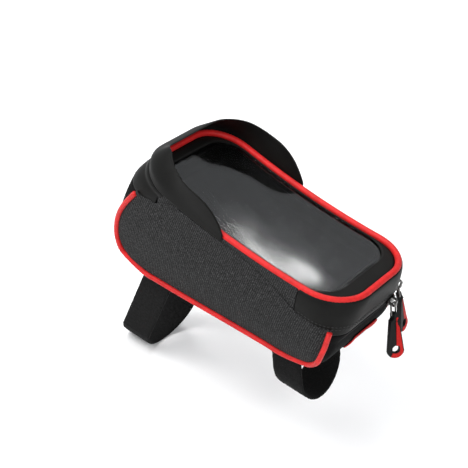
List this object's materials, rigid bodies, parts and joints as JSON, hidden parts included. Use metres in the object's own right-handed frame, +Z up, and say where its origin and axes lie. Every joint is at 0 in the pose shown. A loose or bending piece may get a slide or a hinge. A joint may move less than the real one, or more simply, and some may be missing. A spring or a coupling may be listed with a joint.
{
  "type": "bicycle frame bag",
  "caption": "Soft top-tube bicycle bag with a clear-windowed lid over a phone pocket, a red-piped rim, a standing sun visor, a zip with rubber pullers, and hook-and-loop straps.",
  "frame": {"origin": "middle of the bag's width on the underside of the base pad, where it rests on the top tube", "axes": "+X to the rear of the bicycle, -Y to the rider's left, +Z up from the tube"},
  "size_m": [0.2218, 0.1143, 0.1939],
  "materials": {
    "black_cloth": "plain black lining cloth over foam",
    "rubber_pad": "matt non-slip",
    "heather": "charcoal heather twill",
    "red_piping": "satin red",
    "coated_black": "satin coated cloth",
    "clear_film": "clear flexible film",
    "zip_tape": "woven tape with moulded teeth",
    "zip_metal": "dark nickel",
    "puller_rubber": "matt black",
    "red_inlay": "matt red",
    "webbing": "hook-and-loop webbing",
    "patch_cloth": "black with a red edge"
  },
  "bodies": {
    "case": {"body_shell": "black_cloth", "base_pad": "rubber_pad", "left_side_panel": "heather", "right_side_panel": "heather", "left_lower_piping": "red_piping", "right_lower_piping": "red_piping", "lower_zip_tape": "zip_tape", "left_zip_stop": "zip_metal", "right_zip_stop": "zip_metal", "front_strap": "webbing", "rear_strap": "webbing", "rear_patch": "patch_cloth"},
    "lid": {"front_band": "coated_black", "rear_band": "coated_black", "left_rim_strip": "heather", "right_rim_strip": "heather", "window_piping": "red_piping", "lid_frame": "black_cloth", "window_film": "clear_film", "window_border": "coated_black", "phone_pocket": "black_cloth", "visor": "coated_black", "upper_zip_tape": "zip_tape"},
    "near_slider": {"near_slider": "zip_metal"},
    "near_loop": {"near_loop": "zip_metal"},
    "near_puller": {"near_puller": "puller_rubber", "near_inlay": "red_inlay"},
    "far_slider": {"far_slider": "zip_metal"},
    "far_loop": {"far_loop": "zip_metal"},
    "far_puller": {"far_puller": "puller_rubber", "far_inlay": "red_inlay"}
  },
  "joints": [
    {"name": "lid_hinge", "type": "hinge", "parent": "case", "child": "lid", "pos_m": [-0.105, 0, 0.07738], "axis": [0, -1, 0], "range_deg": [0, 95]},
    {"name": "near_slider_slide", "type": "slide", "parent": "case", "child": "near_slider", "axis": [0, -1, 0], "range_m": [0, 0.045]},
    {"name": "near_loop_swing", "type": "hinge", "parent": "near_slider", "child": "near_loop", "pos_m": [0.095, 0.0255, 0.04664], "axis": [0, -1, 0], "range_deg": [0, 95]},
    {"name": "near_puller_swing", "type": "hinge", "parent": "near_loop", "child": "near_puller", "pos_m": [0.09808, 0.0255, 0.03818], "axis": [0, -1, 0], "range_deg": [0, 60]},
    {"name": "far_slider_turn", "type": "hinge", "parent": "case", "child": "far_slider", "pos_m": [0.0695, 0.0275, 0.04817], "axis": [0.1, 0, 0.995], "range_deg": [0, 36]},
    {"name": "far_loop_swing", "type": "hinge", "parent": "far_slider", "child": "far_loop", "pos_m": [0.08656, 0.04645, 0.04677], "axis": [0.7431, -0.6691, 0], "range_deg": [0, 95]},
    {"name": "far_puller_swing", "type": "hinge", "parent": "far_loop", "child": "far_puller", "pos_m": [0.08832, 0.04841, 0.03817], "axis": [0.7431, -0.6691, 0], "range_deg": [0, 60]}
  ]
}
